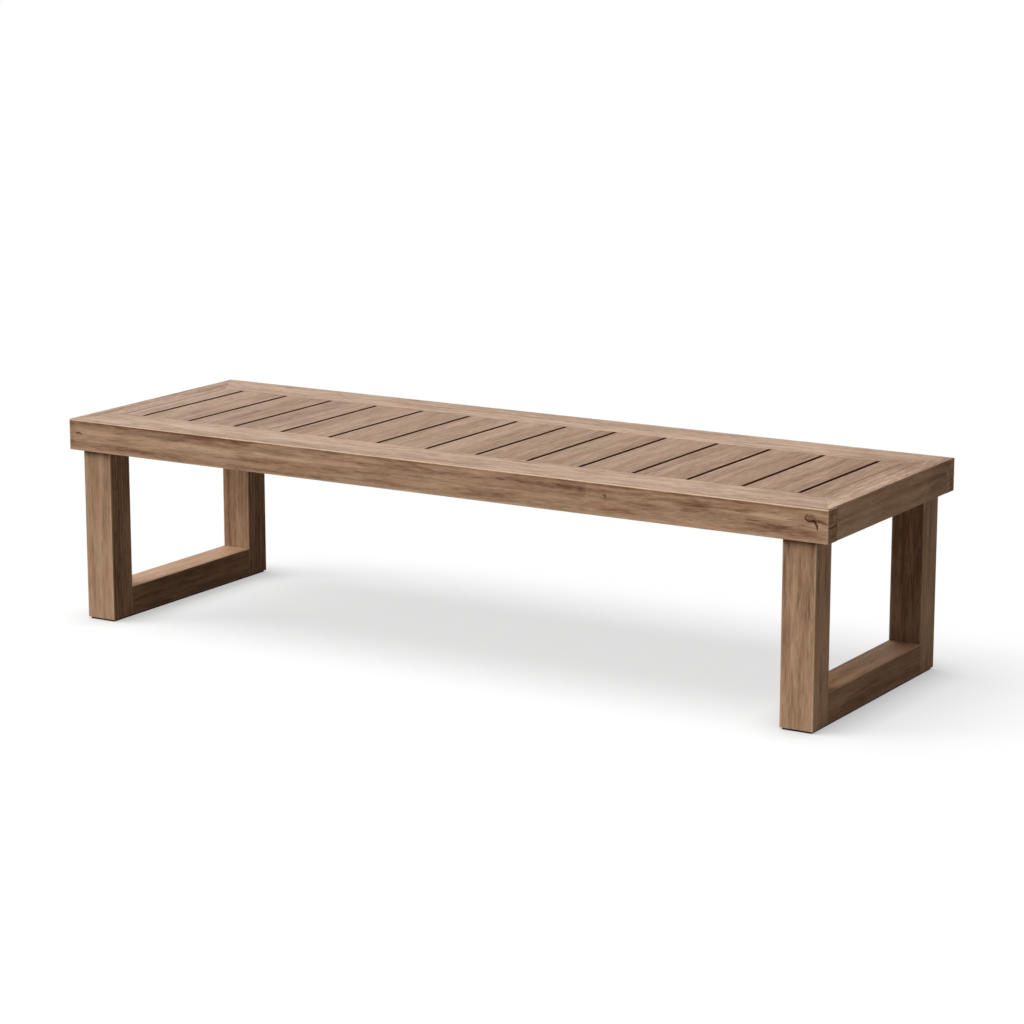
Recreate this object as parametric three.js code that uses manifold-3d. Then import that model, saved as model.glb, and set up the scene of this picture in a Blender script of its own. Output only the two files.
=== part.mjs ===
// Backless slatted bench: a mitred border and cross slats on an apron box, carried by two open leg frames.
// Units are millimetres. +X runs along the bench, -Y is its front and +Z is up; the floor is at z = 0.

import * as THREE from "three";
import { ConvexGeometry } from "three/addons/geometries/ConvexGeometry.js";
import { mergeVertices } from "three/addons/utils/BufferGeometryUtils.js";
import Module from "manifold-3d";

// ---- overall size -------------------------------------------------------------------------------
const LENGTH = 1770;
const DEPTH = 575;
const SEAT_HEIGHT = 433;

// ---- joints -------------------------------------------------------------------------------------
const JOINT_GAP = 0.3; // between any two pieces that meet
const OVERCUT = 5; // how far a cutting tool runs past the face it opens

// ---- top ----------------------------------------------------------------------------------------
const TOP_THICKNESS = 22; // border boards and slats
const LONG_RAIL_WIDTH = 110;
const END_RAIL_WIDTH = 64;
const CLOSING_STRIP_WIDTH = 46;
const SLAT_COUNT = 13;
const SLAT_GAP = 7.5;
const CLEAT_WIDTH = 50;
const CLEAT_THICKNESS = 15;

// ---- apron box ----------------------------------------------------------------------------------
const APRON_HEIGHT = 66; // from the seat surface to the lower edge
const LONG_APRON_THICKNESS = 37;
const END_APRON_THICKNESS = 27;
const BRACE_WIDTH = 45;
const HIDDEN_RAIL_LIFT = 2; // how far the brace and leg top rails stay above the aprons' lower edge

// ---- leg frames ---------------------------------------------------------------------------------
const POST_ALONG = 70; // post size along X
const POST_ACROSS = 65; // post size along Y
const LEG_END_INSET = 28; // from the end face of the top
const LEG_SIDE_INSET = 11; // from the front and back faces of the top
const STRETCHER_HEIGHT = 61;
const LEG_TOP_RAIL_WIDTH = 30;
const STRETCHER_TENON = { along: 24, height: 27, depth: 32 };
const TOP_RAIL_TENON = { along: 14, height: 17, depth: 24 };

// ---- floor strips -------------------------------------------------------------------------------
const STRIP_THICKNESS = 4;
const STRIP_INSET = 3; // from the faces of the leg frame above
const STRIP_CORNER = 5;
const STRIP_CORNER_STEPS = 5;
const SPIKE_RADIUS = 1.6;
const SPIKE_LENGTH = 9;
const SPIKE_POINT = 3; // length of the pointed end
const SPIKE_TIP_RADIUS = 0.4;

// ---- coach screws -------------------------------------------------------------------------------
const SCREW_RADIUS = 4;
const SCREW_HEAD_ACROSS_FLATS = 13;
const SCREW_HEAD_HEIGHT = 5.5;
const SCREW_BITE = 25; // how deep the shank runs into the apron
const SCREW_TIP_LENGTH = 5;
const SCREW_TIP_RADIUS = 1;
const SCREW_OFFSET = 24; // along X from the middle of the post
const WASHER_RADIUS = 8;
const WASHER_THICKNESS = 1.6;
const SCREW_HOLE_CLEARANCE = 0.5;
const ROUND_SIDES = 20;
const HEX_SIDES = 6;

// ---- derived values -----------------------------------------------------------------------------
const HALF_LENGTH = LENGTH / 2;
const HALF_DEPTH = DEPTH / 2;
const TOP_UNDERSIDE = SEAT_HEIGHT - TOP_THICKNESS;
const APRON_BOTTOM = SEAT_HEIGHT - APRON_HEIGHT;
const LONG_APRON_INNER = HALF_DEPTH - LONG_APRON_THICKNESS;
const END_APRON_INNER = HALF_LENGTH - END_APRON_THICKNESS;
const FIELD_HALF_DEPTH = HALF_DEPTH - LONG_RAIL_WIDTH;
const FIELD_HALF_LENGTH = HALF_LENGTH - END_RAIL_WIDTH - CLOSING_STRIP_WIDTH;
const SLAT_LENGTH = 2 * (FIELD_HALF_DEPTH - JOINT_GAP);
const SLAT_WIDTH = (2 * FIELD_HALF_LENGTH - (SLAT_COUNT + 1) * SLAT_GAP) / SLAT_COUNT;
const SLAT_PITCH = SLAT_WIDTH + SLAT_GAP;
const CLEAT_UNDERSIDE = TOP_UNDERSIDE - CLEAT_THICKNESS;
const HIDDEN_RAIL_BOTTOM = APRON_BOTTOM + HIDDEN_RAIL_LIFT;
const HIDDEN_RAIL_TOP = CLEAT_UNDERSIDE - JOINT_GAP;
const HIDDEN_RAIL_HEIGHT = HIDDEN_RAIL_TOP - HIDDEN_RAIL_BOTTOM;
const HIDDEN_RAIL_Z = (HIDDEN_RAIL_TOP + HIDDEN_RAIL_BOTTOM) / 2;

const POST_X = HALF_LENGTH - LEG_END_INSET - POST_ALONG / 2;
const POST_Y = HALF_DEPTH - LEG_SIDE_INSET - POST_ACROSS / 2;
const POST_INNER_Y = POST_Y - POST_ACROSS / 2;
const POST_OUTER_Y = POST_Y + POST_ACROSS / 2;
const POST_TOP = TOP_UNDERSIDE - JOINT_GAP;
const STRETCHER_Z = STRIP_THICKNESS + STRETCHER_HEIGHT / 2;
const SCREW_Z = (APRON_BOTTOM + TOP_UNDERSIDE) / 2;

// ---- materials ----------------------------------------------------------------------------------
const wood = (color) => new THREE.MeshStandardMaterial({ color, roughness: 0.72, metalness: 0 });
const BORDER_WOOD = wood(0xb99f89);
const SLAT_WOOD = wood(0xa68c78);
const APRON_WOOD = wood(0x92735b);
const LEG_WOOD = wood(0x8a6c56);
const HIDDEN_WOOD = wood(0x85674f);
const ZINC_STEEL = new THREE.MeshStandardMaterial({ color: 0xa9abac, roughness: 0.42, metalness: 0.9 });
const STRIP_PLASTIC = new THREE.MeshStandardMaterial({ color: 0x241e1a, roughness: 0.65, metalness: 0 });

// ---- solids -------------------------------------------------------------------------------------
const wasm = await Module();
wasm.setup();

/** Turns a closed three.js geometry into a solid that can be joined and cut. */
function toSolid(geometry) {
  const bare = geometry.clone();
  bare.deleteAttribute("normal");
  bare.deleteAttribute("uv");
  const merged = mergeVertices(bare);
  const mesh = new wasm.Mesh({
    numProp: 3,
    vertProperties: new Float32Array(merged.attributes.position.array),
    triVerts: new Uint32Array(merged.index.array),
  });
  return new wasm.Manifold(mesh);
}

/** Turns a solid back into a three.js geometry with flat faces. */
function toGeometry(solid) {
  const mesh = solid.getMesh();
  const indexed = new THREE.BufferGeometry();
  indexed.setAttribute("position", new THREE.BufferAttribute(new Float32Array(mesh.vertProperties), 3));
  indexed.setIndex(new THREE.BufferAttribute(new Uint32Array(mesh.triVerts), 1));
  const flat = indexed.toNonIndexed();
  flat.computeVertexNormals();
  return flat;
}

/** Joins further geometries to a first one, then cuts others away from it. */
function combine(base, { add = [], cut = [] }) {
  let solid = toSolid(base);
  for (const piece of add) solid = solid.add(toSolid(piece));
  for (const piece of cut) solid = solid.subtract(toSolid(piece));
  return toGeometry(solid);
}

function boxAt(size, center) {
  return new THREE.BoxGeometry(...size).translate(...center);
}

/** A round or many-sided rod along Y from fromY to toY, with an optional narrower far end. */
function rodAlongY(radius, fromY, toY, x, z, sides = ROUND_SIDES, endRadius = radius) {
  const rod = new THREE.CylinderGeometry(endRadius, radius, Math.abs(toY - fromY), sides);
  if (toY < fromY) rod.rotateX(Math.PI);
  return rod.translate(x, (fromY + toY) / 2, z);
}

/** A round rod along Z from fromZ up to toZ, with an optional narrower upper end. */
function rodAlongZ(radius, fromZ, toZ, x, y, endRadius = radius) {
  const rod = new THREE.CylinderGeometry(endRadius, radius, toZ - fromZ, ROUND_SIDES);
  return rod.rotateX(Math.PI / 2).translate(x, y, (fromZ + toZ) / 2);
}

// ---- the assembly -------------------------------------------------------------------------------
const bench = new THREE.Group();
const FRONT_AND_BACK = [["front", -1], ["back", 1]];
const LEFT_AND_RIGHT = [["left", -1], ["right", 1]];

function addPiece(name, geometry, material) {
  const mesh = new THREE.Mesh(geometry, material);
  mesh.name = name;
  bench.add(mesh);
}

// ---- border -------------------------------------------------------------------------------------
// Each border board is a trapezoid in plan, mitred at both ends. Its outer edge is bevelled at 45 degrees
// through the full thickness, so board and apron meet on the arris and no seam shows on the face.

/** Half the length of a long rail, measured at a distance in from the front or back face. */
function longRailReach(distance) {
  return HALF_LENGTH - (END_RAIL_WIDTH * distance) / LONG_RAIL_WIDTH;
}

/** Half the length of an end rail, measured at a distance in from the end face. */
function endRailReach(distance) {
  return HALF_DEPTH - (LONG_RAIL_WIDTH * distance) / END_RAIL_WIDTH;
}

/**
 * The corners of a border board as [along, distance in from the outer face, z]. A board used as a cutting
 * tool is larger: grow moves its faces out, and rise carries it on above the seat.
 */
function borderCorners(width, reach, { grow = 0, rise = 0, shorten = 0 }) {
  const bevelShift = grow * Math.SQRT2;
  const top = SEAT_HEIGHT + rise;
  const bottom = TOP_UNDERSIDE - grow;
  const outline = [
    [-bevelShift - rise, top],
    [TOP_THICKNESS + grow - bevelShift, bottom],
    [width + grow, top],
    [width + grow, bottom],
  ];
  return [-1, 1].flatMap((end) =>
    outline.map(([distance, z]) => [end * (reach(distance) + grow - shorten), distance, z]),
  );
}

function longRail(side, options = {}) {
  const corners = borderCorners(LONG_RAIL_WIDTH, longRailReach, options);
  const toPoint = ([along, distance, z]) => new THREE.Vector3(along, side * (HALF_DEPTH - distance), z);
  return new ConvexGeometry(corners.map(toPoint));
}

function endRail(side, options = {}) {
  const corners = borderCorners(END_RAIL_WIDTH, endRailReach, options);
  const toPoint = ([along, distance, z]) => new THREE.Vector3(side * (HALF_LENGTH - distance), along, z);
  return new ConvexGeometry(corners.map(toPoint));
}

for (const [name, side] of FRONT_AND_BACK) {
  addPiece(`${name}_top_rail`, longRail(side, { shorten: JOINT_GAP }), BORDER_WOOD);
}
for (const [name, side] of LEFT_AND_RIGHT) {
  addPiece(`${name}_top_rail`, endRail(side), BORDER_WOOD);
}

// ---- slats and closing strips -------------------------------------------------------------------
const SLAT_Z = SEAT_HEIGHT - TOP_THICKNESS / 2;

for (let index = 0; index < SLAT_COUNT; index += 1) {
  const x = (index - (SLAT_COUNT - 1) / 2) * SLAT_PITCH;
  const number = String(index + 1).padStart(2, "0");
  addPiece(`slat_${number}`, boxAt([SLAT_WIDTH, SLAT_LENGTH, TOP_THICKNESS], [x, 0, SLAT_Z]), SLAT_WOOD);
}

for (const [name, side] of LEFT_AND_RIGHT) {
  const width = CLOSING_STRIP_WIDTH - JOINT_GAP;
  const x = side * (FIELD_HALF_LENGTH + width / 2);
  addPiece(`${name}_closing_strip`, boxAt([width, SLAT_LENGTH, TOP_THICKNESS], [x, 0, SLAT_Z]), SLAT_WOOD);
}

// ---- cleats and brace ---------------------------------------------------------------------------
for (const [name, side] of FRONT_AND_BACK) {
  const size = [2 * (END_APRON_INNER - JOINT_GAP), CLEAT_WIDTH, CLEAT_THICKNESS - JOINT_GAP];
  const z = TOP_UNDERSIDE - JOINT_GAP - size[2] / 2;
  addPiece(`${name}_slat_cleat`, boxAt(size, [0, side * FIELD_HALF_DEPTH, z]), HIDDEN_WOOD);
}

const BRACE_SIZE = [BRACE_WIDTH, 2 * (LONG_APRON_INNER - JOINT_GAP), HIDDEN_RAIL_HEIGHT];
addPiece("centre_cross_brace", boxAt(BRACE_SIZE, [0, 0, HIDDEN_RAIL_Z]), HIDDEN_WOOD);

// ---- aprons -------------------------------------------------------------------------------------
// The long aprons run through to the end faces and the end aprons stand between them. Every apron reaches
// up to the arris, and the border boards above it are cut out of its top.

const APRON_Z = SEAT_HEIGHT - APRON_HEIGHT / 2;
const BORDER_CLEARANCE = { grow: JOINT_GAP, rise: OVERCUT };
const SCREW_COLUMNS = [-1, 1].flatMap((end) => [-1, 1].map((half) => end * POST_X + half * SCREW_OFFSET));

function screwHole(side, x, fromDistance, toDistance) {
  const radius = SCREW_RADIUS + SCREW_HOLE_CLEARANCE;
  return rodAlongY(radius, side * fromDistance, side * toDistance, x, SCREW_Z);
}

function longApron(side) {
  const size = [LENGTH, LONG_APRON_THICKNESS, APRON_HEIGHT];
  const board = boxAt(size, [0, side * (HALF_DEPTH - LONG_APRON_THICKNESS / 2), APRON_Z]);
  const border = [
    longRail(side, BORDER_CLEARANCE),
    endRail(-1, BORDER_CLEARANCE),
    endRail(1, BORDER_CLEARANCE),
  ];
  const holeEnd = LONG_APRON_INNER + SCREW_BITE + SCREW_HOLE_CLEARANCE;
  const holes = SCREW_COLUMNS.map((x) => screwHole(side, x, LONG_APRON_INNER - OVERCUT, holeEnd));
  return combine(board, { cut: [...border, ...holes] });
}

function endApron(side) {
  const size = [END_APRON_THICKNESS, 2 * (LONG_APRON_INNER - JOINT_GAP), APRON_HEIGHT];
  const board = boxAt(size, [side * (HALF_LENGTH - END_APRON_THICKNESS / 2), 0, APRON_Z]);
  const border = [
    endRail(side, BORDER_CLEARANCE),
    longRail(-1, BORDER_CLEARANCE),
    longRail(1, BORDER_CLEARANCE),
  ];
  return combine(board, { cut: border });
}

for (const [name, side] of FRONT_AND_BACK) addPiece(`${name}_apron`, longApron(side), APRON_WOOD);
for (const [name, side] of LEFT_AND_RIGHT) addPiece(`${name}_end_apron`, endApron(side), APRON_WOOD);

// ---- leg frames ---------------------------------------------------------------------------------
// A post's head is notched so that the apron sits on its shoulder. The stretcher and the leg top rail
// have tenons at both ends, which sit in blind mortises in the posts' inner faces.

/** A tenon that starts inside the rail and ends at its depth beyond the rail's shoulder. */
function tenon({ along, height, depth }, side, x, z) {
  const shoulder = POST_INNER_Y - JOINT_GAP;
  const size = [along, depth + OVERCUT, height];
  return boxAt(size, [x, side * (shoulder + (depth - OVERCUT) / 2), z]);
}

/** The pocket for a tenon, with the joint gap all round. */
function mortise({ along, height, depth }, side, x, z) {
  const size = [along + 2 * JOINT_GAP, depth + JOINT_GAP + OVERCUT, height + 2 * JOINT_GAP];
  return boxAt(size, [x, side * (POST_INNER_Y + (depth + JOINT_GAP - OVERCUT) / 2), z]);
}

/** A rail between the two posts of one leg frame, with a tenon at each end. */
function tenonedRail(x, z, width, height, tenonSize) {
  const rail = boxAt([width, 2 * (POST_INNER_Y - JOINT_GAP), height], [x, 0, z]);
  return combine(rail, { add: [-1, 1].map((side) => tenon(tenonSize, side, x, z)) });
}

function post(end, side) {
  const x = end * POST_X;
  const y = side * POST_Y;
  const height = POST_TOP - STRIP_THICKNESS;
  const blank = boxAt([POST_ALONG, POST_ACROSS, height], [x, y, STRIP_THICKNESS + height / 2]);
  const notchDepth = POST_OUTER_Y - LONG_APRON_INNER + JOINT_GAP;
  const notchHeight = POST_TOP - APRON_BOTTOM + JOINT_GAP;
  const notch = boxAt(
    [POST_ALONG + 2 * OVERCUT, notchDepth + OVERCUT, notchHeight + OVERCUT],
    [x, side * (POST_OUTER_Y + (OVERCUT - notchDepth) / 2), POST_TOP + (OVERCUT - notchHeight) / 2],
  );
  const holes = [-1, 1].map((half) =>
    screwHole(side, x + half * SCREW_OFFSET, POST_INNER_Y - OVERCUT, LONG_APRON_INNER + OVERCUT),
  );
  const spikeTop = STRIP_THICKNESS + SPIKE_LENGTH + JOINT_GAP;
  const spikeHole = rodAlongZ(SPIKE_RADIUS + JOINT_GAP, STRIP_THICKNESS - OVERCUT, spikeTop, x, y);
  const pockets = [
    mortise(STRETCHER_TENON, side, x, STRETCHER_Z),
    mortise(TOP_RAIL_TENON, side, x, HIDDEN_RAIL_Z),
  ];
  return combine(blank, { cut: [notch, ...holes, spikeHole, ...pockets] });
}

/** A thin plastic strip under a whole leg frame, with a spike driven up into each post's end grain. */
function floorStrip(end) {
  const x = end * POST_X;
  const right = POST_ALONG / 2 - STRIP_INSET - STRIP_CORNER;
  const far = POST_OUTER_Y - STRIP_INSET - STRIP_CORNER;
  const quarter = Math.PI / 2;
  const outline = new THREE.Shape();
  outline.absarc(right, far, STRIP_CORNER, 0, quarter);
  outline.absarc(-right, far, STRIP_CORNER, quarter, 2 * quarter);
  outline.absarc(-right, -far, STRIP_CORNER, 2 * quarter, 3 * quarter);
  outline.absarc(right, -far, STRIP_CORNER, 3 * quarter, 4 * quarter);
  const depth = STRIP_THICKNESS - JOINT_GAP;
  const settings = { depth, bevelEnabled: false, curveSegments: STRIP_CORNER_STEPS };
  const plate = new THREE.ExtrudeGeometry(outline, settings).translate(x, 0, 0);
  const shankTop = STRIP_THICKNESS + SPIKE_LENGTH - SPIKE_POINT;
  const tip = shankTop + SPIKE_POINT;
  const spikes = [-POST_Y, POST_Y].flatMap((y) => [
    rodAlongZ(SPIKE_RADIUS, depth / 2, shankTop, x, y),
    rodAlongZ(SPIKE_RADIUS, shankTop, tip, x, y, SPIKE_TIP_RADIUS),
  ]);
  return combine(plate, { add: spikes });
}

for (const [endName, end] of LEFT_AND_RIGHT) {
  const x = end * POST_X;
  const stretcher = tenonedRail(x, STRETCHER_Z, POST_ALONG, STRETCHER_HEIGHT, STRETCHER_TENON);
  const topRail = tenonedRail(x, HIDDEN_RAIL_Z, LEG_TOP_RAIL_WIDTH, HIDDEN_RAIL_HEIGHT, TOP_RAIL_TENON);
  addPiece(`${endName}_floor_stretcher`, stretcher, LEG_WOOD);
  addPiece(`${endName}_leg_top_rail`, topRail, HIDDEN_WOOD);
  addPiece(`${endName}_floor_strip`, floorStrip(end), STRIP_PLASTIC);
  for (const [sideName, side] of FRONT_AND_BACK) {
    addPiece(`${sideName}_${endName}_post`, post(end, side), LEG_WOOD);
  }
}

// ---- coach screws and washers -------------------------------------------------------------------
// Two screws run from inside through each post head into the apron, each with a washer under its head.

const WASHER_FACE = POST_INNER_Y - JOINT_GAP;
const HEAD_FACE = WASHER_FACE - WASHER_THICKNESS - JOINT_GAP;
const HEAD_CORNER_RADIUS = SCREW_HEAD_ACROSS_FLATS / 2 / Math.cos(Math.PI / HEX_SIDES);

function washer(side, x) {
  const inner = SCREW_RADIUS + SCREW_HOLE_CLEARANCE;
  const near = side * (WASHER_FACE - WASHER_THICKNESS);
  const disc = rodAlongY(WASHER_RADIUS, near, side * WASHER_FACE, x, SCREW_Z);
  const hole = rodAlongY(inner, side * (HEAD_FACE - OVERCUT), side * (WASHER_FACE + OVERCUT), x, SCREW_Z);
  return combine(disc, { cut: [hole] });
}

function coachScrew(side, x) {
  const along = (distance) => side * distance;
  const tip = LONG_APRON_INNER + SCREW_BITE;
  const shankEnd = tip - SCREW_TIP_LENGTH;
  const headStart = HEAD_FACE - SCREW_HEAD_HEIGHT;
  const head = rodAlongY(HEAD_CORNER_RADIUS, along(headStart), along(HEAD_FACE), x, SCREW_Z, HEX_SIDES);
  const shankStart = HEAD_FACE - SCREW_HEAD_HEIGHT / 2;
  const shank = rodAlongY(SCREW_RADIUS, along(shankStart), along(shankEnd), x, SCREW_Z);
  const point = rodAlongY(
    SCREW_RADIUS, along(shankEnd), along(tip), x, SCREW_Z, ROUND_SIDES, SCREW_TIP_RADIUS,
  );
  return combine(head, { add: [shank, point] });
}

for (const [sideName, side] of FRONT_AND_BACK) {
  SCREW_COLUMNS.forEach((x, index) => {
    const number = index + 1;
    addPiece(`${sideName}_coach_screw_${number}`, coachScrew(side, x), ZINC_STEEL);
    addPiece(`${sideName}_washer_${number}`, washer(side, x), ZINC_STEEL);
  });
}

export default bench;
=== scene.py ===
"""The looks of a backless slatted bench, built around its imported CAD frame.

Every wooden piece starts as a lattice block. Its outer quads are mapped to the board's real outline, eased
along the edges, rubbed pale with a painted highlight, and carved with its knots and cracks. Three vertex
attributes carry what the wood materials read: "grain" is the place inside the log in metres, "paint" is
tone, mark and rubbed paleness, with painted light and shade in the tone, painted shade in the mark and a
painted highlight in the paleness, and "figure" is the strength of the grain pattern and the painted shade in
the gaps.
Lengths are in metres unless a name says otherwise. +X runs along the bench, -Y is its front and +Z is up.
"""

import itertools
import math

import bmesh
import bpy
import numpy as np
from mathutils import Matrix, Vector


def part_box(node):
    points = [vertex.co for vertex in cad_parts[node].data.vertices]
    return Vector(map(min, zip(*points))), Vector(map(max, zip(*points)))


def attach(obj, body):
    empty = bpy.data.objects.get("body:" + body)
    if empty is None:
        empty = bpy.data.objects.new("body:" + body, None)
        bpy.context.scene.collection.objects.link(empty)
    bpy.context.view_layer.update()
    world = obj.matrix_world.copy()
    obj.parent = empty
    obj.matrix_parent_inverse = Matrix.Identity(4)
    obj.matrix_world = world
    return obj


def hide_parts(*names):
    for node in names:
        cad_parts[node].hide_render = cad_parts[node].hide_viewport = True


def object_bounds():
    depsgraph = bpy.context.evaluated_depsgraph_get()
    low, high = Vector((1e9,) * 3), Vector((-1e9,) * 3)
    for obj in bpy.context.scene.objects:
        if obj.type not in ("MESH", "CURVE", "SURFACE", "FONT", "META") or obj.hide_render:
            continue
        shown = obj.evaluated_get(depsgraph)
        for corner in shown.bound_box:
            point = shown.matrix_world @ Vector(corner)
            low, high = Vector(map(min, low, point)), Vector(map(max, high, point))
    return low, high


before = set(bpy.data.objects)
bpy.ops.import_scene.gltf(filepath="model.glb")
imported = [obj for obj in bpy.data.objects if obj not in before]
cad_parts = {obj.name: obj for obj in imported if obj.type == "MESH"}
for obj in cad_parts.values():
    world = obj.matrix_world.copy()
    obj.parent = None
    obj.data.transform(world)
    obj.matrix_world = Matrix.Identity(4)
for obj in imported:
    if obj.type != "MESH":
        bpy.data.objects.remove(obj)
cad_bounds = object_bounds()

MM = 0.001
X, Y, Z = 0, 1, 2
BODY = "root"
FACING = {"left": -1, "right": 1, "front": -1, "back": 1}

# ---- edges and seams ----
ARRIS_RADIUS = 2.4 * MM  # the outer top edge, shared by a border board and its apron
SLAT_EDGE_RADIUS = 1.6 * MM
LEG_EDGE_RADIUS = 1.6 * MM
APRON_EDGE_RADIUS = 1.4 * MM
JOINT_EDGE_RADIUS = 0.45 * MM
HIDDEN_EDGE_RADIUS = 1.0 * MM
EASE_STOPS = (0.0, 0.55, 1.0, 1.5)  # lattice planes across an eased edge, in radii
MITRE_EDGE_RADIUS = 0.1 * MM
WEAR_AND_HIGHLIGHT_REACH = 4.0 * MM
THINNEST_CELL = 0.12 * MM

# ---- wood surface ----
SURFACE_WAVE = 0.10 * MM  # how deep planing waves go
WAVE_ALONG = 250 * MM
WAVE_ACROSS = 22 * MM
HEART_DISTANCE = (90 * MM, 220 * MM)  # from a board's middle to the heart of its log
DENT_DEPTH = 0.45 * MM  # nicks along the arrises
GAP_SHADE_START = 0.12 * MM  # how far below the seat the painted shade in the gaps is full
CHECK_LENGTH = 22 * MM
CHECK_WIDTH = 0.8 * MM


# ---- lattice ----
def planes(low, high, step, radii, windows, cuts):
    """Where lattice planes cross one axis: evenly, close together at the edges, in windows and at cuts."""
    offsets = np.array([radius * stop for radius in radii for stop in EASE_STOPS])
    margin = offsets.max()
    count = max(1, round((high - low - 2 * margin) / step))
    places = [np.linspace(low + margin, high - margin, count + 1), [low, high]]
    places += [low + offsets, high - offsets]
    for start, end, fine in windows:
        places.append(np.arange(max(start, low + margin), min(end, high - margin), fine))
    for cut in cuts:
        places.append([cut - 0.2 * MM, cut + 0.2 * MM])
    kept = [low]
    for place in np.sort(np.concatenate(places)):
        if place - kept[-1] > THINNEST_CELL:
            kept.append(place)
    kept[-1] = high
    return np.array(kept)


def shell(lines, solid):
    """The outer quads of the filled cells of a lattice. solid tells from cell centres which are filled."""
    counts = [len(line) for line in lines]
    centres = [(line[:-1] + line[1:]) / 2 for line in lines]
    grid = np.meshgrid(*centres, indexing="ij")
    filled = np.ones(grid[0].shape, bool) if solid is None else solid(*grid)
    padded = np.pad(filled, 1)
    quads = []
    for axis in (X, Y, Z):
        cells = np.moveaxis(padded, axis, 0)[:, 1:-1, 1:-1]
        for inside, outside, outward in ((cells[:-1], cells[1:], 1), (cells[1:], cells[:-1], -1)):
            plane, j, k = np.nonzero(inside & ~outside)
            ring = [(0, 0), (1, 0), (1, 1), (0, 1)]
            if (outward > 0) == (axis == Y):
                ring.reverse()
            corners = []
            for dj, dk in ring:
                index = [j + dj, k + dk]
                index.insert(axis, plane)
                corners.append(np.ravel_multi_index(index, counts))
            quads.append(np.stack(corners, axis=1))
    used, faces = np.unique(np.concatenate(quads), return_inverse=True)
    place = np.unravel_index(used, counts)
    points = np.stack([line[index] for line, index in zip(lines, place)], axis=1)
    return points, faces.reshape(-1, 4)


def edges_of(*axes):
    """Every edge of a block that runs between two of these axes' faces, as (axis, side) pairs."""
    pairs = itertools.combinations(axes, 2)
    return [((a, s), (b, t)) for a, b in pairs for s in (-1, 1) for t in (-1, 1)]


def ease_edge(points, wear_and_highlight, low, high, edge, radius, worn_and_lit):
    """Rounds one edge of a block and paints the wood near it paler, as rubbed wood with a painted highlight.
    """
    faces = [high[axis] if side > 0 else low[axis] for axis, side in edge]
    gaps = [side * (face - points[:, axis]) for face, (axis, side) in zip(faces, edge)]
    wear_and_highlight[:] = np.maximum(wear_and_highlight, worn_and_lit * (1 - np.maximum(*gaps) / WEAR_AND_HIGHLIGHT_REACH))
    zone = (gaps[0] < radius) & (gaps[1] < radius)
    inner = [radius - gap[zone] for gap in gaps]
    shrink = np.maximum(*inner) / np.maximum(np.hypot(*inner), 1e-12)
    for face, (axis, side), depth in zip(faces, edge, inner):
        points[zone, axis] = face - side * (radius - depth * shrink)


def normals_of(points, faces):
    corners = points[faces]
    across = np.cross(corners[:, 2] - corners[:, 0], corners[:, 3] - corners[:, 1])
    total = np.zeros_like(points)
    for corner in range(4):
        np.add.at(total, faces[:, corner], across)
    return total / np.maximum(np.linalg.norm(total, axis=1, keepdims=True), 1e-15)


def noise(points, seed):
    """Smooth noise from -1 to 1, with one bump in each unit of the points' coordinates."""
    values = np.random.default_rng(seed).uniform(-1, 1, 8192)
    cell = np.floor(points).astype(np.int64)
    inside = points - cell
    inside = inside * inside * (3 - 2 * inside)
    total = np.zeros(len(points))
    for corner in itertools.product((0, 1), repeat=3):
        key = (cell + corner) * np.array([73856093, 19349663, 83492791])
        index = (key[:, 0] ^ key[:, 1] ^ key[:, 2]) % len(values)
        total += values[index] * np.prod(np.where(corner, inside, 1 - inside), axis=1)
    return total


# ---- marks in the wood, and painted light and shade ----
class Skin:
    """What happens over a board's surface, point by point: carving, tone and marks (both with some painted
    light and shade), painted shade in the gaps and bent grain.
    """

    def __init__(self, points, normals):
        self.points = points
        self.normals = normals
        self.carve, self.tone, self.mark, self.shade_in_gaps = np.zeros((4, len(points)))
        self.bend = np.zeros((len(points), 3))

    def on_face(self, axis, side):
        """How squarely each point faces this way, from 0 to 1."""
        return np.clip((side * self.normals[:, axis] - 0.6) / 0.3, 0, 1)

    def around(self, face, at):
        """How squarely each point lies on a face, and how far from a place on it, both ways."""
        axis, side, a, b = face
        return self.on_face(axis, side), self.points[:, a] - at[0], self.points[:, b] - at[1]


def smooth(value):
    value = np.clip(value, 0, 1)
    return value * value * (3 - 2 * value)


def mark(rule):
    """Turns a rule for a skin into one that is given everything else first, and the skin later."""
    return lambda *given: lambda skin: rule(skin, *given)


@mark
def knot(skin, face, at, size, depth, dark):
    """An oval knot with a darker rim. The grain bends round it. size is its half width and half height."""
    weight, da, db = skin.around(face, at)
    away = np.hypot(da / size[0], db / size[1])
    rim = np.exp(-(((away - 0.9) / 0.3) ** 2))
    heart = np.exp(-((away / 0.45) ** 2))
    halo = np.exp(-((away / 2.2) ** 2))
    skin.mark += weight * dark * (0.8 * rim + 0.7 * heart + 0.16 * halo)
    skin.carve += weight * depth * (0.7 * heart + 0.5 * rim)
    skin.bend[:, face[3]] -= weight * db * np.exp(-((away / 2.6) ** 2)) * 0.75


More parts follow.
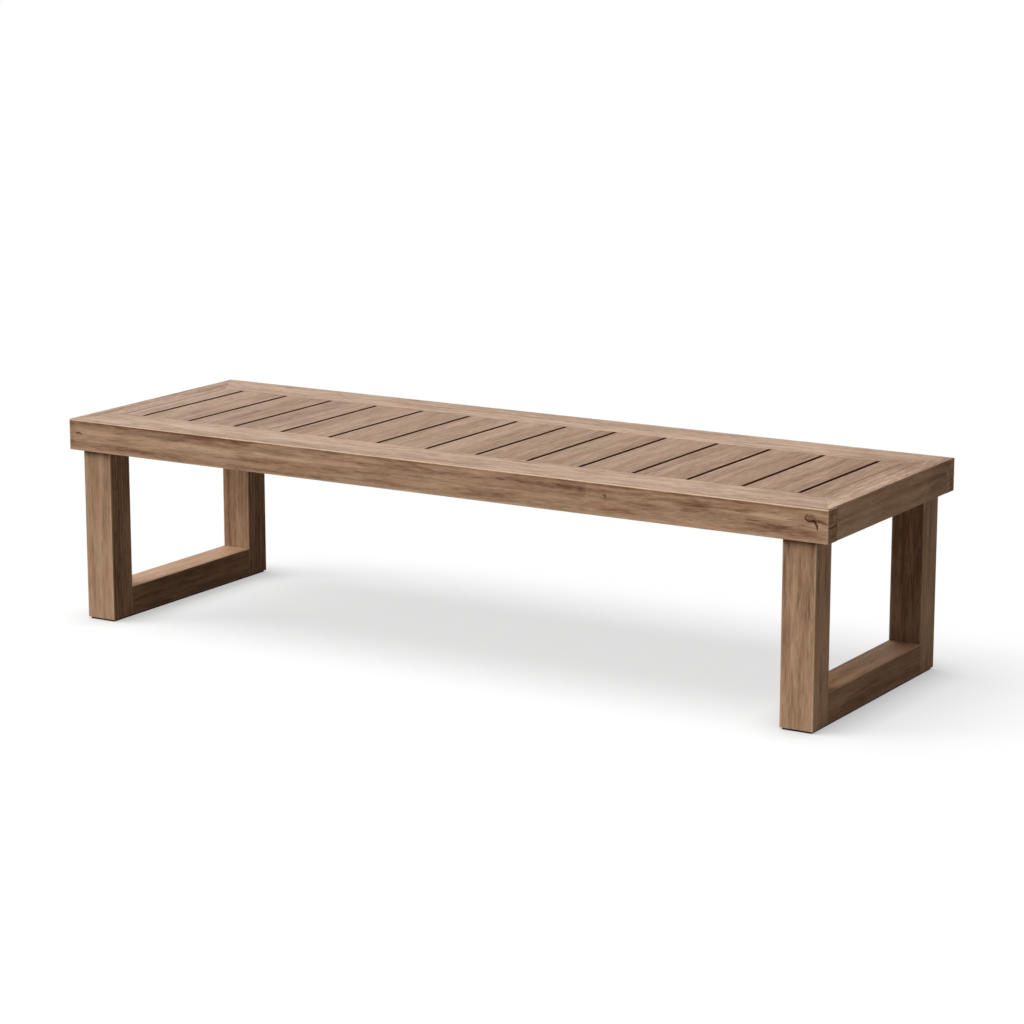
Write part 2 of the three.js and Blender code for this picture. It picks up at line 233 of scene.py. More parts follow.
@mark
def crack(skin, face, path, width, depth, dark):
    """A thin open split along a path of points on the face. It narrows towards both ends."""
    axis, side, a, b = face
    weight = skin.on_face(axis, side)
    spot = skin.points[:, [a, b]]
    lengths = [math.dist(p, q) for p, q in zip(path, path[1:])]
    run = 0.0
    best = np.full(len(spot), np.inf)
    where = np.zeros(len(spot))
    for (p, q), length in zip(zip(path, path[1:]), lengths):
        along = np.array(q) - np.array(p)
        t = np.clip(((spot - p) @ along) / length**2, 0, 1)
        gap = np.linalg.norm(spot - p - t[:, None] * along, axis=1)
        closer = gap < best
        best = np.where(closer, gap, best)
        where = np.where(closer, (run + t * length) / sum(lengths), where)
        run += length
    half = width * (0.35 + 0.65 * np.sin(math.pi * np.clip(where, 0.02, 0.98))) / 2
    cut = np.clip(1.5 - best / half, 0, 1)
    skin.mark += weight * dark * cut
    skin.carve += weight * depth * cut


@mark
def patch(skin, face, at, size, tone, seed, ragged=0.5):
    """A lighter or darker patch drawn out along the grain, with a ragged outline."""
    weight, da, db = skin.around(face, at)
    da, db = da / size[0], db / size[1]
    wobble = noise(np.stack([da * 3, db * 1.5, np.full_like(da, seed)], axis=1), seed)
    skin.tone += weight * tone * smooth(1.3 - np.hypot(da, db) - ragged * wobble)


@mark
def painted_face_shading(skin, axis, side, tone):
    """A whole face painted lighter or darker, as painted light and shade."""
    skin.tone += tone * skin.on_face(axis, side)


@mark
def painted_gap_shade(skin, axis):
    """Painted shade on the sides of a narrow gap, from the edge down."""
    facing = smooth((np.abs(skin.normals[:, axis]) - 0.04) / 0.30)
    skin.shade_in_gaps += facing * smooth((SEAT - skin.points[:, Z]) / GAP_SHADE_START)


@mark
def painted_level_shading(skin, height, reach, tone, dark=0.0):
    """A level band of painted light (positive tone) or painted shade (negative tone) round a piece: strongest
    at one height, and gone beyond its reach.
    """
    near = np.exp(-(((height - skin.points[:, Z]) / reach) ** 2)) * (1 - np.abs(skin.normals[:, Z]))
    skin.tone += tone * near
    skin.mark += dark * near


@mark
def stave(skin, tone, *spans):
    """A strip of a glued-up board, a little lighter or darker. Each span is an axis, a start and an end."""
    inside = np.ones(len(skin.points), bool)
    for axis, start, end in spans:
        inside &= (skin.points[:, axis] > start) & (skin.points[:, axis] < end)
    skin.tone += tone * inside


def checks(face, span_a, span_b, count, seed, along, dark=0.5):
    """Short drying checks scattered over part of a face. They follow the grain, which runs along an axis."""
    rng = np.random.default_rng(seed)
    found = []
    for _ in range(count):
        start = np.array([rng.uniform(*span_a), rng.uniform(*span_b)])
        reach = CHECK_LENGTH * rng.uniform(0.4, 1.5)
        path = [start]
        for _ in range(3):
            step = np.array([reach / 3, rng.normal(0, 0.045 * reach)])
            path.append(path[-1] + (step if along == face[2] else step[::-1]))
        width = CHECK_WIDTH * rng.uniform(0.7, 1.3)
        found.append(crack(face, path, width, 0.6 * MM, dark * rng.uniform(0.6, 1.4)))
    return found


# ---- boards ----
def board(
    node, material, grain_axis, seed, step, easy=(), easy_radius=0.0, joint_radius=JOINT_EDGE_RADIUS,
    worn_and_lit=0.3, marks=(), windows=((), (), ()), cuts=((), (), ()), solid=None, form=None, box=None, tone=0.0,
    end_tone=-0.12, figure=1.0,
):
    """Builds one wooden piece over its CAD node. easy lists the edges that are eased most and painted palest,
    as rubbed wood with a painted highlight.
    """
    low, high = (np.array(corner) for corner in (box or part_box(node)))
    radii = (easy_radius, joint_radius)
    lines = [planes(low[i], high[i], step[i], radii, windows[i], cuts[i]) for i in range(3)]
    points, faces = shell(lines, solid)
    wear_and_highlight = np.zeros(len(points))
    for edge in edges_of(X, Y, Z):
        if edge in easy:
            ease_edge(points, wear_and_highlight, low, high, edge, easy_radius, worn_and_lit)
        else:
            ease_edge(points, wear_and_highlight, low, high, edge, joint_radius, 0.0)
    if form is not None:
        form(points, wear_and_highlight)
    skin = Skin(points, normals_of(points, faces))
    for apply in marks:
        apply(skin)
    stretch = np.full(3, 1 / WAVE_ACROSS)
    stretch[grain_axis] = 1 / WAVE_ALONG
    wave = noise(points * stretch, seed)
    nick = noise(points * stretch * 2.3, seed + 1)
    skin.carve += SURFACE_WAVE * (1 + wave) / 2
    skin.carve += DENT_DEPTH * np.clip(wear_and_highlight, 0, 1) ** 2 * np.clip(nick - 0.35, 0, 1)
    moved = points - skin.normals * skin.carve[:, None]
    ends = np.abs(skin.normals[:, grain_axis]) > 0.8
    skin.tone += tone + end_tone * ends
    grain = grain_place(points + skin.bend, grain_axis, seed)
    paint = np.stack([skin.tone, np.clip(skin.mark, 0, 1), np.clip(wear_and_highlight, 0, 1)], axis=1)
    figure = np.stack([np.full(len(points), figure), np.clip(skin.shade_in_gaps, 0, 1), np.zeros(len(points))], axis=1)
    look = {"grain": grain, "paint": paint, "figure": figure}
    stands_for(add_mesh(f"{node}_wood", moved.tolist(), faces.tolist(), material, **look), node)


def grain_place(points, grain_axis, seed):
    """Each point's place in the log: along the fibres, then across them from the log's heart."""
    rng = np.random.default_rng(seed)
    angle = rng.uniform(0, 2 * math.pi)
    reach = rng.uniform(*HEART_DISTANCE)
    middle = (points.min(axis=0) + points.max(axis=0)) / 2
    across = [axis for axis in (X, Y, Z) if axis != grain_axis]
    along = points[:, grain_axis] + rng.uniform(0, 40)
    heart = reach * np.array([math.cos(angle), math.sin(angle)])
    return np.column_stack([along, points[:, across] - middle[across] + heart])


def add_object(name, data):
    made = bpy.data.objects.new(name, data)
    bpy.context.scene.collection.objects.link(made)
    return made


def add_mesh(name, points, faces, material, **attributes):
    """Makes a smooth piece. Each attribute is one vector for each point."""
    mesh = bpy.data.meshes.new(name)
    mesh.from_pydata(points, [], faces)
    for key, value in attributes.items():
        layer = mesh.attributes.new(key, "FLOAT_VECTOR", "POINT")
        layer.data.foreach_set("vector", value.astype(np.float32).ravel())
    mesh.shade_smooth()
    mesh.materials.append(material)
    return add_object(name, mesh)


def stands_for(piece, node):
    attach(piece, BODY)
    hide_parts(node)


# ---- materials ----
def linear(red, green, blue):
    """A colour given as 8-bit sRGB, in the linear values that a shader takes."""
    values = [value / 255 for value in (red, green, blue)]
    return [v / 12.92 if v <= 0.04045 else ((v + 0.055) / 1.055) ** 2.4 for v in values] + [1.0]


class Shader:
    """A short way to write a material's nodes."""

    def __init__(self, name):
        self.material = bpy.data.materials.new(name)
        self.material.use_nodes = True
        self.tree = self.material.node_tree
        self.tree.nodes.clear()

    def feed(self, socket, value):
        """Links a socket to another one, or sets its value."""
        if isinstance(value, bpy.types.NodeSocket):
            self.tree.links.new(value, socket)
        else:
            socket.default_value = value

    def node(self, kind, inputs=None, **settings):
        made = self.tree.nodes.new("ShaderNode" + kind)
        for key, value in settings.items():
            setattr(made, key, value)
        for key, value in (inputs or {}).items():
            self.feed(made.inputs[key], value)
        return made

    def math(self, operation, a, b):
        return self.node("Math", {0: a, 1: b}, operation=operation).outputs[0]

    def blend(self, factor, a, b, mode="MIX"):
        made = self.node("Mix", {"Factor": factor, 6: a, 7: b}, data_type="RGBA", blend_type=mode)
        return made.outputs[2]

    def remap(self, value, low, high, to_low=0.0, to_high=1.0):
        inputs = {"Value": value, "From Min": low, "From Max": high, "To Min": to_low, "To Max": to_high}
        return self.node("MapRange", inputs, clamp=True).outputs[0]

    def scaled(self, vector, along, across):
        """The grain place, squeezed along the fibres so that a pattern is drawn out lengthwise."""
        inputs = {0: vector, 1: (along, across, across)}
        return self.node("VectorMath", inputs, operation="MULTIPLY").outputs[0]

    def grain_noise(self, vector, along, across, detail, roughness=0.5, distortion=0.0):
        inputs = {"Vector": self.scaled(vector, along, across), "Scale": 1.0, "Detail": detail}
        return self.node("TexNoise", inputs | {"Roughness": roughness, "Distortion": distortion}).outputs[0]

    def surface(self, inputs):
        principled = self.node("BsdfPrincipled", inputs)
        self.node("OutputMaterial", {"Surface": principled.outputs[0]})
        return self.material


def wood(name, light, middle, dark, broad=1.0, fine=1.0):
    """Weathered brown hardwood: bands, mottling, growth rings, streaks, fibres, pores, marks, painted shade
    in the gaps, and rubbed pale edges with a painted highlight.
    """
    s = Shader(name)
    place = s.node("Attribute", attribute_name="grain").outputs["Vector"]
    paint = s.node("Attribute", attribute_name="paint").outputs["Vector"]
    tone, mark, wear_and_highlight = s.node("SeparateXYZ", {0: paint}).outputs[:3]
    extra = s.node("Attribute", attribute_name="figure").outputs["Vector"]
    figure, shade_in_gaps = s.node("SeparateXYZ", {0: extra}).outputs[:2]

    bands = s.grain_noise(place, 1.2, 30, detail=3, roughness=0.55, distortion=0.5)
    mottle = s.grain_noise(place, 8, 55, detail=3, roughness=0.6, distortion=0.9)
    streaks = s.grain_noise(place, 17, 260, detail=3, roughness=0.65, distortion=0.5)
    fibres = s.grain_noise(place, 42, 720, detail=2, roughness=0.6)
    flecks = s.remap(s.grain_noise(place, 30, 430, detail=2, roughness=0.7), 0.57, 0.72)
    pores = s.remap(s.grain_noise(place, 75, 1700, detail=1), 0.60, 0.74)
    hue = s.grain_noise(place, 6, 60, detail=3)
    wave = {"Vector": s.scaled(place, 0.06, 1.0), "Scale": 36.0, "Distortion": 7.0}
    wave |= {"Detail": 2.0, "Detail Scale": 0.7, "Detail Roughness": 0.55}
    rings = s.node("TexWave", wave, wave_type="RINGS", rings_direction="X").outputs["Fac"]

    value = s.math("MULTIPLY", flecks, -0.22 * fine)
    for part, amount in (
        (bands, 0.85 * broad), (mottle, 0.75 * broad), (rings, 0.14 * broad),
        (streaks, 0.95 * fine), (fibres, 0.9 * fine),
    ):
        value = s.math("ADD", value, s.math("MULTIPLY", s.math("SUBTRACT", part, 0.5), amount))
    value = s.math("ADD", s.math("MULTIPLY", value, figure), s.math("ADD", tone, 0.53))
    ramp = s.node("ValToRGB", {"Fac": value})
    stops = ramp.color_ramp.elements
    stops[0].color = linear(*dark)
    stops[1].color = linear(*light)
    stops.new(0.5).color = linear(*middle)

    colour = s.blend(s.remap(hue, 0.50, 0.66, 0.0, 0.8), ramp.outputs["Color"], REDDER, "MULTIPLY")
    colour = s.blend(s.remap(hue, 0.50, 0.36, 0.0, 0.5), colour, GREENER, "MULTIPLY")
    colour = s.blend(s.math("MULTIPLY", pores, 0.35), colour, linear(*dark))
    # Rubbed edges are paler; along the arrises this is also a painted highlight.
    worn_and_lit = s.math("MULTIPLY", wear_and_highlight, s.remap(streaks, 0.35, 0.65, 0.75, 1.0))
    colour = s.blend(worn_and_lit, colour, [value * lift for value, lift in zip(linear(*light), WORN_AND_HIGHLIGHT_LIFT)])
    # Painted shade on the sides of the gaps between boards.
    colour = s.blend(s.math("MULTIPLY", shade_in_gaps, 0.95), colour, linear(*GAP_SHADE_COLOUR))
    # Knots and splits are darkened, and so is the painted shade on the posts under the aprons.
    colour = s.blend(s.math("MULTIPLY", mark, 0.95), colour, linear(*MARK_AND_SHADE_DARK))

    relief = s.math("ADD", s.math("MULTIPLY", streaks, 0.55), s.math("MULTIPLY", fibres, 0.45))
    bump = s.node("Bump", {"Height": relief, "Strength": 0.5, "Distance": 0.5 * MM}).outputs[0]
    pitted = {"Height": pores, "Strength": 0.35, "Distance": 0.3 * MM, "Normal": bump}
    bump = s.node("Bump", pitted, invert=True).outputs[0]
    roughness = s.remap(value, 0.0, 1.0, 0.80, 0.62)
    gloss = s.remap(mark, 0.0, 0.6, 0.3, 0.02)
    inputs = {"Base Color": colour, "Roughness": roughness, "Specular IOR Level": gloss, "Normal": bump}
    return s.surface(inputs)


REDDER = (1.02, 0.93, 0.90, 1.0)
GREENER = (0.99, 1.0, 0.90, 1.0)
# The dark of knots and splits, and of the painted shade on the posts under the aprons.
MARK_AND_SHADE_DARK = (74, 38, 16)
# The colour of the painted shade in the gaps.
GAP_SHADE_COLOUR = (108, 66, 36)
WORN_AND_HIGHLIGHT_LIFT = (1.45, 1.60, 1.75, 1.0)  # how much lighter than the lightest wood a rubbed arris with its painted highlight gets
BORDER_WOOD = wood("border_wood", (210, 183, 160), (182, 155, 132), (140, 112, 90), broad=1.3, fine=1.5)
SLAT_WOOD = wood("slat_wood", (192, 164, 142), (164, 136, 112), (120, 92, 70), broad=0.9, fine=1.0)
APRON_WOOD = wood("apron_wood", (214, 178, 144), (180, 143, 111), (120, 81, 56), broad=1.2, fine=0.82)
LEG_WOOD = wood("leg_wood", (216, 178, 143), (182, 145, 112), (122, 87, 58), broad=1.15, fine=0.85)
HIDDEN_WOOD = wood("hidden_wood", (176, 139, 108), (146, 111, 82), (100, 71, 50))

# ---- measures taken from the frame ----
low, high = cad_bounds
HALF_LENGTH = high.x
HALF_DEPTH = high.y
SEAT = high.z
LONG_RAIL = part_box("front_top_rail")
END_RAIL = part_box("left_top_rail")
LONG_RAIL_WIDTH = LONG_RAIL[1].y - LONG_RAIL[0].y
END_RAIL_WIDTH = END_RAIL[1].x - END_RAIL[0].x
UNDERSIDE = LONG_RAIL[0].z
TOP_THICKNESS = SEAT - UNDERSIDE
APRON_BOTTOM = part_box("front_apron")[0].z
APRON_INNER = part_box("left_end_apron")[1].y
JOINT_GAP = 0.3 * MM
ARRIS_SEAM = 0.06 * MM  # how tightly a border board meets the apron under it and its neighbours' mitres
SEAM_DROP = ARRIS_SEAM * math.sqrt(2)


def arc(distance, radius=ARRIS_RADIUS):
    """How far an eased edge has dropped at a distance in from the face."""
    inner = np.clip(radius - distance, 0, radius)
    return radius - np.sqrt(radius**2 - inner**2)


# ---- border boards ----
ARRIS_START = ARRIS_RADIUS * (1 - math.sqrt(0.5))
WORN_AND_HIGHLIGHT_WIDTH = 2.4 * MM  # how far in over the top the arris is rubbed pale and painted with a highlight
WORN_AND_HIGHLIGHT_FADE = 1.7 * MM


def rail_form(along, across, half_along, half_across, width, other_width, worn_and_lit):
    """Maps a block to a border board: mitred ends and an outer edge cut at 45 degrees under the arris. The
    arris is rubbed pale and painted with a highlight.
    """

    def form(points, wear_and_highlight):
        points[:, along] *= half_along / np.abs(points[:, along]).max()
        side = np.sign(points[:, across])
        start = ARRIS_START + ARRIS_SEAM / 2
        share = np.clip((half_across - np.abs(points[:, across])) / width, 0, 1)
        distance = start + share * (width - start)
        height = np.clip((points[:, Z] - UNDERSIDE) / TOP_THICKNESS, 0, 1)
        end_gap = half_along - np.abs(points[:, along])
        top = SEAT - np.maximum(arc(distance), arc(end_gap, MITRE_EDGE_RADIUS))
        top -= arc(width - distance, JOINT_EDGE_RADIUS)
        bottom = np.maximum(UNDERSIDE, SEAT - distance)
        thickness = top - bottom
        points[:, Z] = np.where(height > 0.5, top - (1 - height) * thickness, bottom + height * thickness)
        points[:, across] = side * (half_across - distance)
        points[:, along] *= 1 - distance * other_width / width / half_along
        # A pale band along the arris: rubbed wood, and a painted highlight.
        wear_and_highlight[:] = worn_and_lit * smooth((WORN_AND_HIGHLIGHT_WIDTH - distance) / WORN_AND_HIGHLIGHT_FADE)

    return form


def border_rail(node, along, seed, marks=(), tone=0.0, worn_and_lit=0.3):
    across = Y if along == X else X
    width, other = (LONG_RAIL_WIDTH, END_RAIL_WIDTH) if along == X else (END_RAIL_WIDTH, LONG_RAIL_WIDTH)
    half_along, half_across = (HALF_LENGTH, HALF_DEPTH) if along == X else (HALF_DEPTH, HALF_LENGTH)
    tip = half_along - SEAM_DROP / 2
    step = [6 * MM, 6 * MM, 5.5 * MM]
    step[across] = 2.5 * MM
    # Painted shade on the board's sides beside the gaps.
    marks = [*marks, painted_gap_shade(across)]
    board(
        node, BORDER_WOOD, along, seed, step, easy_radius=ARRIS_RADIUS,
        joint_radius=MITRE_EDGE_RADIUS, marks=marks, tone=tone,
        form=rail_form(along, across, tip, half_across, width, other, worn_and_lit),
    )


TOP = (Z, 1, X, Y)
FRONT_RIGHT = (HALF_LENGTH - 50 * MM, -HALF_DEPTH + 45 * MM)
BACK_RIGHT = (HALF_LENGTH - 50 * MM, HALF_DEPTH - 45 * MM)
# The front rail gets the strongest painted highlight along its arris.
border_rail(
    "front_top_rail", X, 101, [patch(TOP, FRONT_RIGHT, (240 * MM, 130 * MM), -0.30, 111, 0.3)],
    tone=0.03, worn_and_lit=1.0,
)
border_rail("back_top_rail", X, 102, [patch(TOP, BACK_RIGHT, (150 * MM, 110 * MM), -0.24, 113)], tone=0.01)
border_rail("left_top_rail", Y, 103, tone=-0.13)
border_rail(
    "right_top_rail", Y, 104, [
        patch(TOP, FRONT_RIGHT, (90 * MM, 80 * MM), 0.22, 112, 0.3),
        patch(TOP, BACK_RIGHT, (100 * MM, 130 * MM), -0.26, 114, 0.3),
    ], tone=-0.13,
)

# ---- slats ----
STAVE_SHARE = 0.44  # each slat is glued up from two staves
SLAT_EDGES = [((X, s), (Z, 1)) for s in (-1, 1)]
SLAT_STEP = (2.2 * MM, 7 * MM, 5.5 * MM)
SLAT_TONE_STEP = 0.014
SLAT_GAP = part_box("slat_02")[0].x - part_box("slat_01")[1].x
# How much lighter or darker the left and right stave of each slat is, from left to right.
STAVE_TONES = (
    (9, -3), (4, -2), (1, 1), (0, 6), (-1, -1), (4, -2), (6, 0),
    (1, -7), (1, -4), (4, -1), (0, -6), (4, -7), (1, -10),
)


def slat(number, tones):
    node = f"slat_{number:02d}"
    low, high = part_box(node)
    seed = 200 + number
    rng = np.random.default_rng(seed)
    seam = low.x + (STAVE_SHARE + rng.uniform(-0.03, 0.03)) * (high.x - low.x)
    marks = [
        stave(tones[0] * SLAT_TONE_STEP, (X, low.x - MM, seam)),
        stave(tones[1] * SLAT_TONE_STEP, (X, seam, high.x + MM)),
        # Painted shade on the sides beside the gaps.
        painted_gap_shade(X),
        *checks(TOP, (low.x + 8 * MM, high.x - 8 * MM), (low.y, high.y), 5, seed, Y),
    ]
    for _ in range(5):
        at = (rng.uniform(low.x, high.x), rng.uniform(low.y, high.y))
        size = (rng.uniform(5, 11) * MM, rng.uniform(40, 110) * MM)
        marks.append(patch(TOP, at, size, rng.uniform(-0.16, 0.10), int(rng.integers(1000))))
    board(
        node, SLAT_WOOD, Y, seed, SLAT_STEP, easy=SLAT_EDGES,
        easy_radius=SLAT_EDGE_RADIUS, marks=marks, cuts=((seam,), (), ()),
    )


for number, tones in enumerate(STAVE_TONES, start=1):
    slat(number, tones)
# The closing strips get painted shade on their sides beside the gaps too.
for side, tone in (("left", 0.16), ("right", -0.12)):
    board(
        f"{side}_closing_strip", SLAT_WOOD, Y, 230 + len(side), SLAT_STEP, easy=SLAT_EDGES,
        easy_radius=SLAT_EDGE_RADIUS, marks=[painted_gap_shade(X)], tone=tone,
    )

# ---- aprons ----


def apron_form(worn_and_lit):
    """Maps a block's top to the underside of the border boards, up to the eased arris. The face just under
    the arris is rubbed pale and painted with a highlight.
    """

    def form(points, wear_and_highlight):
        front = HALF_DEPTH - np.abs(points[:, Y])
        end = HALF_LENGTH - np.abs(points[:, X])
        under_end = end * LONG_RAIL_WIDTH < front * END_RAIL_WIDTH
        seam = np.where(under_end, end, front)
        limit = SEAT - np.minimum(seam, TOP_THICKNESS) - SEAM_DROP
        crown = SEAT - np.maximum(arc(front), arc(end))
        height = (points[:, Z] - APRON_BOTTOM) / (SEAT - APRON_BOTTOM)
        points[:, Z] = APRON_BOTTOM + height * (np.minimum(limit, crown) - APRON_BOTTOM)
        below = SEAT - points[:, Z]
        # A pale band just under the arris: rubbed wood, and a painted highlight.
        wear_and_highlight[:] = np.maximum(wear_and_highlight, worn_and_lit * smooth((ARRIS_RADIUS + 1.5 * MM - below) / WORN_AND_HIGHLIGHT_FADE))

    return form


def apron(node, seed, marks=(), windows=((), (), ()), cuts=((), (), ()), tone=0.0, figure=1.0, worn_and_lit=0.2):
    low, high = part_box(node)
    along = X if high.x - low.x > high.y - low.y else Y
    across = Y if along == X else X
    side = 1 if low[across] + high[across] > 0 else -1
    exposed = [((across, side), (Z, -1))]
    if along == X:
        exposed += [((X, s), (Y, side)) for s in (-1, 1)]
    board(
        node, APRON_WOOD, along, seed, (6 * MM, 6 * MM, 1.8 * MM), easy=exposed,
        easy_radius=APRON_EDGE_RADIUS, marks=marks, windows=windows,
        cuts=cuts, form=apron_form(worn_and_lit), box=(low, Vector((high.x, high.y, SEAT))), tone=tone, figure=figure,
        end_tone=-0.18,
    )


FRONT = (Y, -1, X, Z)
BACK = (Y, 1, X, Z)
LEFT_END = (X, -1, Y, Z)
RIGHT_END = (X, 1, Y, Z)


def from_left(distance):
    """A place along the bench, in millimetres from its left end."""
    return -HALF_LENGTH + distance * MM


def from_seat(distance):
    """A height, in millimetres below the seat."""
    return SEAT - distance * MM


def front(along, below):
    """A place on the front face, in millimetres from the left end and below the seat."""
    return (from_left(along), from_seat(below))


def end(along, below):
    """A place on an end face, in millimetres from the front face and below the seat."""
    return (-HALF_DEPTH + along * MM, from_seat(below))


def blot(at, size, tone, seed, face=FRONT, ragged=0.5):
    """A patch whose half size is in millimetres."""
    return patch(face, at, (size[0] * MM, size[1] * MM), tone, seed, ragged)


def blots(place, rows, seed):
    """Patches on the front. Each row is its place and half size in millimetres, and its tone."""
    return [blot(place(*row[:2]), row[2:4], row[4], seed + index) for index, row in enumerate(rows)]


def splits(face, place, rows):
    """Open splits. Each row is its spots, width and depth in millimetres, and its darkness."""
    return [
        crack(face, [place(*spot) for spot in spots], width * MM, depth * MM, dark)
        for spots, width, depth, dark in rows
    ]


FRONT_KNOTS = (
    # the big knot by the right end, the small one by the left end and the pin knot right of the middle:
    # place, half width and half height, depth, darkness
    ((1735, 21), (7, 5.5), 0.2, 0.62),
    ((24, 30), (6, 4), 0.3, 0.3),
    ((1301, 26), (4.5, 3.5), 0.3, 0.3),
)
FRONT_SPLITS = (
    # the bark curled round the big knot, and the streak that leaves it
    (((1728, 14), (1723.5, 18), (1723.5, 23), (1729, 27), (1738, 27.5)), 3.4, 0.7, 0.85),
    (((1736, 25), (1743, 28), (1747, 34), (1748, 42)), 4.2, 1.0, 0.95),
    (((1734, 24.5), (1752, 25), (1770, 29)), 5.5, 0.3, 0.70),
    (((1709, 37), (1717, 36.5), (1725, 37)), 1.8, 0.4, 0.45),
    # in the small knot and the pin knot
    (((18, 26), (19, 30), (26, 28), (35, 32)), 2.4, 0.7, 0.85),
    (((1296, 24), (1302, 25), (1301, 30)), 2.2, 0.6, 0.8),
    # wavy splits left of the big knot
    (((1606, 35), (1614, 38), (1627, 37), (1636, 40)), 2.2, 0.4, 0.48),
    (((1640, 38), (1652, 42), (1661, 41)), 2.6, 0.4, 0.52),
    (((1667, 39), (1679, 43), (1697, 41)), 2.2, 0.4, 0.42),
    (((1628, 45), (1641, 47), (1650, 46)), 2.2, 0.4, 0.42),
    (((1657, 48), (1666, 47), (1677, 50)), 2.0, 0.4, 0.40),
    (((1655, 54), (1673, 52), (1690, 54)), 1.8, 0.4, 0.24),
)
FRONT_BLOTS = (
    (330, 28, 330, 10, 0.16), (300, 6, 240, 7, -0.14), (150, 53, 130, 9, -0.12),
    (450, 12, 30, 8, -0.12), (462, 33, 34, 12, -0.14), (446, 54, 30, 9, -0.12),
    (640, 30, 120, 11, 0.16), (700, 50, 130, 11, -0.10), (980, 30, 120, 9, 0.14),
    (830, 14, 60, 8, -0.16), (1040, 50, 90, 10, -0.12), (1222, 15, 36, 9, -0.16),
    (1226, 30, 32, 8, -0.14), (1120, 12, 50, 8, -0.14), (1290, 50, 60, 11, -0.16),
    (1400, 20, 90, 13, 0.14), (1500, 26, 42, 9, -0.22), (1600, 22, 20, 6, -0.16),
    (1662, 25, 66, 10, 0.28), (1650, 42, 60, 8, -0.24), (1660, 54, 70, 8, -0.16),
    (1420, 52, 70, 8, 0.10), (1725, 52, 45, 10, -0.10), (560, 14, 90, 7, -0.14),
    (95, 22, 70, 9, 0.10), (1745, 12, 30, 6, 0.10), (4, 34, 12, 40, -0.20),
)
# Lengths that the apron is glued up from: start, end, top, bottom and tone.
FRONT_STAVES = (
    (1240, 1259, 0, 37, -0.06), (1259, 1345, 0, 37, 0.07),
    (890, 1185, 0, 24, 0.05), (747, 890, 26, None, -0.07),
)


def front_marks():
    """Knots, splits and glued-up tones of the front apron."""
    marks = [
        # A painted shade line just below the arris seam.
        painted_level_shading(from_seat(4.5), 2.5 * MM, -0.12),
        blot(front(1738.5, 32.5), (5, 3), 0.25, 497),
        blot(front(1752, 33), (12, 4), 0.25, 498),
    ]
    for at, (wide, high), depth, dark in FRONT_KNOTS:
        marks.append(knot(FRONT, front(*at), (wide * MM, high * MM), depth * MM, dark))
    for start, stop, top, bottom, tone in FRONT_STAVES:
        lowest = APRON_BOTTOM if bottom is None else from_seat(bottom)
        marks.append(stave(tone, (X, from_left(start), from_left(stop)), (Z, lowest, from_seat(top))))
    marks += splits(FRONT, front, FRONT_SPLITS)
    marks += blots(front, FRONT_BLOTS, 500)
    return marks + checks(FRONT, (from_left(60), from_left(1700)), (APRON_BOTTOM, SEAT), 40, 511, X)


def random_marks(face, span_a, span_b, seed, along, blot_count=14, split_count=24, dark=0.5):
    """Light and dark patches and checks over a face whose own marks don't matter."""
    rng = np.random.default_rng(seed)
    marks = []
    for _ in range(blot_count):
        at = (rng.uniform(*span_a), rng.uniform(*span_b))
        size = [rng.uniform(40, 150) * MM, rng.uniform(6, 12) * MM]
        if along != face[2]:
            size.reverse()
        marks.append(patch(face, at, size, rng.uniform(-0.18, 0.14), int(rng.integers(1000))))
    return marks + checks(face, span_a, span_b, split_count, seed + 1, along, dark=dark)


END_GRAIN_SPLITS = (
    (((-2, 36), (10, 37), (22, 37), (35, 35)), 3.0, 1.0, 0.85),
    (((2, 27), (14, 26), (26, 28)), 1.8, 0.8, 0.55),
    (((6, 53), (18, 54), (34, 52)), 1.8, 0.8, 0.55),
    (((10, 11), (24, 13)), 1.8, 0.8, 0.55),
    (((575, 22), (562, 23), (550, 22)), 1.8, 0.8, 0.55),
    (((574, 41), (560, 40), (545, 42)), 1.8, 0.8, 0.55),
)


def end_grain_splits():
    """Level drying cracks in both ends of a long apron, at the corners of the end faces."""
    return [split for side in (-1, 1) for split in splits((X, side, Y, Z), end, END_GRAIN_SPLITS)]


LENGTHWISE = (-HALF_LENGTH, HALF_LENGTH)
APRON_SPAN = (APRON_BOTTOM, SEAT)
END_SPAN = (-APRON_INNER, APRON_INNER)
KNOT_WINDOWS = (
    (from_left(1708), HALF_LENGTH, 1.0 * MM), (from_left(1606), from_left(1676), 2.0 * MM),
    (from_left(1290), from_left(1310), 1.0 * MM), (-HALF_LENGTH, from_left(44), 1.2 * MM),
)
GLUE_CUTS = [from_left(place) for place in (747, 890, 1185, 1259, 1345)]

# The front apron gets the painted arris highlight under the front rail.
apron(
    "front_apron", 301, front_marks() + end_grain_splits(),
    windows=(KNOT_WINDOWS, ((-HALF_DEPTH, -APRON_INNER, 3 * MM),), ((from_seat(48), from_seat(10), MM),)),
    cuts=(GLUE_CUTS, (), ()), tone=-0.02, worn_and_lit=1.0,
)
apron(
    "back_apron", 302, random_marks(BACK, LENGTHWISE, APRON_SPAN, 521, X, 30, 50) + end_grain_splits(),
    windows=((), ((APRON_INNER, HALF_DEPTH, 3 * MM),), ()),
)
apron("left_end_apron", 303, random_marks(LEFT_END, END_SPAN, APRON_SPAN, 531, Y), tone=-0.04, figure=0.75)
apron(
    "right_end_apron", 304, [
        *random_marks(RIGHT_END, END_SPAN, APRON_SPAN, 541, Y, split_count=8),
        blot(end(90, 30), (120, 60), 0.16, 542, RIGHT_END, 0.2),
        blot(end(520, 30), (120, 60), -0.16, 543, RIGHT_END, 0.2),
    ], tone=-0.12, figure=0.65,
)

